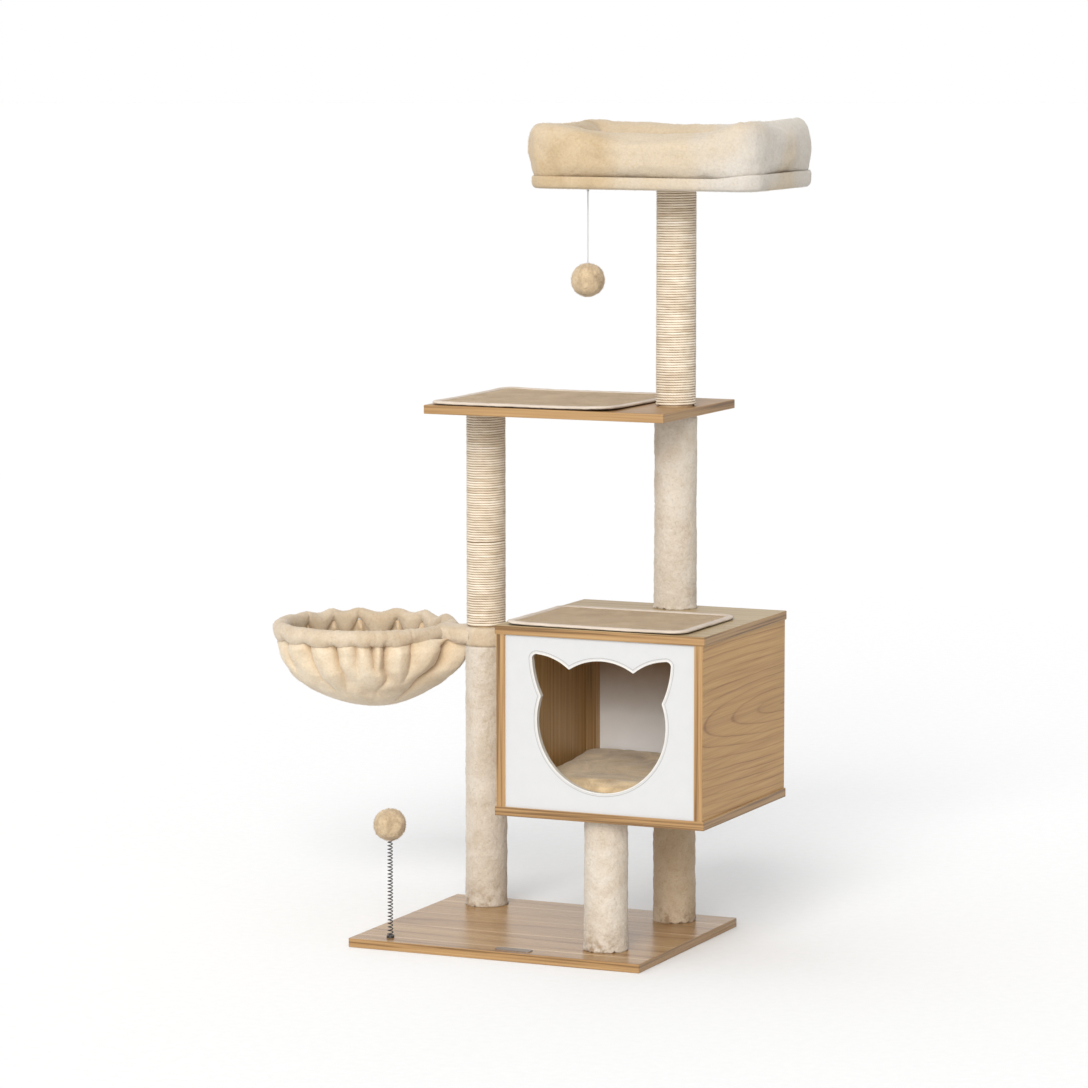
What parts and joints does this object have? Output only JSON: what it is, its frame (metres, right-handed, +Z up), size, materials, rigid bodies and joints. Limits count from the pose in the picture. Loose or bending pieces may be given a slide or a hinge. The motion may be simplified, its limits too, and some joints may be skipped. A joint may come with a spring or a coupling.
{
  "type": "cat tree",
  "caption": "Free-standing cat tree: posts on a base board carry a house with a cat-head doorway, a ring hammock, a platform, a bolster bed and two ball toys.",
  "frame": {"origin": "centre of the base board's underside, on the floor", "axes": "+Z up, -Y towards the doorway's front, +X to the right as seen from the front"},
  "size_m": [0.9555, 0.5335, 1.375],
  "materials": {
    "oak_board": "light oak print on particle board, satin",
    "badge_metal": "blank, brushed",
    "card_tube": "spiral wound card tube",
    "plug_plastic": "black moulded plug",
    "post_plush": "short pile plush",
    "sisal_rope": "twisted sisal rope, wound tight",
    "zinc_steel": "zinc plated",
    "white_panel": "painted board, matt white",
    "cushion_plush": "soft mottled plush",
    "woven_sisal": "flat woven sisal cloth",
    "cloth_binding": "woven cloth tape, sewn",
    "hammock_plush": "short pile plush",
    "raw_board": "raw particle board",
    "bed_plush": "soft plush over stuffing",
    "toy_cord": "thin braided cord",
    "ball_plush": "long pile plush over foam",
    "spring_steel": "dark spring wire"
  },
  "bodies": {
    "stand": {"base_board": "oak_board", "badge_plate": "badge_metal", "left_lower_core": "card_tube", "left_upper_core": "card_tube", "right_lower_core": "card_tube", "right_middle_core": "card_tube", "right_upper_core": "card_tube", "front_core": "card_tube", "left_lower_plush": "post_plush", "right_lower_plush": "post_plush", "right_middle_plush": "post_plush", "front_plush": "post_plush", "left_upper_sisal": "sisal_rope", "right_upper_sisal": "sisal_rope", "post_end_plugs": "plug_plastic", "post_bolts": "zinc_steel", "platform_stud": "zinc_steel", "hammock_stud": "zinc_steel", "house_dowels": "raw_board", "house_roof": "oak_board", "house_floor": "oak_board", "house_left_side": "oak_board", "house_right_side": "oak_board", "house_front_panel": "white_panel", "house_back_panel": "white_panel", "house_batten_left": "oak_board", "house_batten_right": "oak_board", "platform_board": "oak_board", "hammock_frame": "zinc_steel", "hammock_rim": "hammock_plush", "hammock_basket": "hammock_plush", "hammock_sleeve": "hammock_plush", "bed_board": "raw_board", "bed_cover": "bed_plush", "bed_bolster": "bed_plush", "toy_anchor": "zinc_steel", "spring_foot": "spring_steel"},
    "toy_swivel": {"toy_knot": "toy_cord"},
    "hanging_toy": {"toy_string": "toy_cord", "hanging_ball": "ball_plush"},
    "spring_low": {"spring_lower": "spring_steel"},
    "spring_high": {"spring_upper": "spring_steel", "spring_ball": "ball_plush"},
    "house_mat": {"house_mat": "woven_sisal", "house_mat_binding": "cloth_binding"},
    "platform_mat": {"platform_mat": "woven_sisal", "platform_mat_binding": "cloth_binding"},
    "bed_pad": {"bed_pad": "bed_plush"},
    "house_cushion": {"house_cushion": "cushion_plush"}
  },
  "joints": [
    {"name": "toy_swing_fore_aft", "type": "hinge", "parent": "stand", "child": "toy_swivel", "pos_m": [0.048, 0.07, 1.261], "axis": [1, 0, 0], "range_deg": [-22, 22]},
    {"name": "toy_swing_sideways", "type": "hinge", "parent": "toy_swivel", "child": "hanging_toy", "pos_m": [0.048, 0.07, 1.261], "axis": [0, 1, 0], "range_deg": [-22, 22]},
    {"name": "spring_bend_fore_aft", "type": "hinge", "parent": "stand", "child": "spring_low", "pos_m": [-0.202, -0.182, 0.04], "axis": [1, 0, 0], "range_deg": [-25, 25], "stiffness_Nm_per_rad": 0.12, "deforming": ["spring_lower"]},
    {"name": "spring_bend_sideways", "type": "hinge", "parent": "spring_low", "child": "spring_high", "pos_m": [-0.202, -0.182, 0.095], "axis": [0, 1, 0], "range_deg": [-35, 35], "stiffness_Nm_per_rad": 0.12, "deforming": ["spring_upper"]},
    {"name": "house_mat_lift", "type": "slide", "parent": "stand", "child": "house_mat", "axis": [0, 0, 1], "range_m": [0, 0.05]},
    {"name": "platform_mat_lift", "type": "slide", "parent": "stand", "child": "platform_mat", "axis": [0, 0, 1], "range_m": [0, 0.05]},
    {"name": "bed_pad_lift", "type": "slide", "parent": "stand", "child": "bed_pad", "axis": [0, 0, 1], "range_m": [0, 0.12]},
    {"name": "house_cushion_lift", "type": "slide", "parent": "stand", "child": "house_cushion", "axis": [0, 0, 1], "range_m": [0, 0.06]}
  ]
}
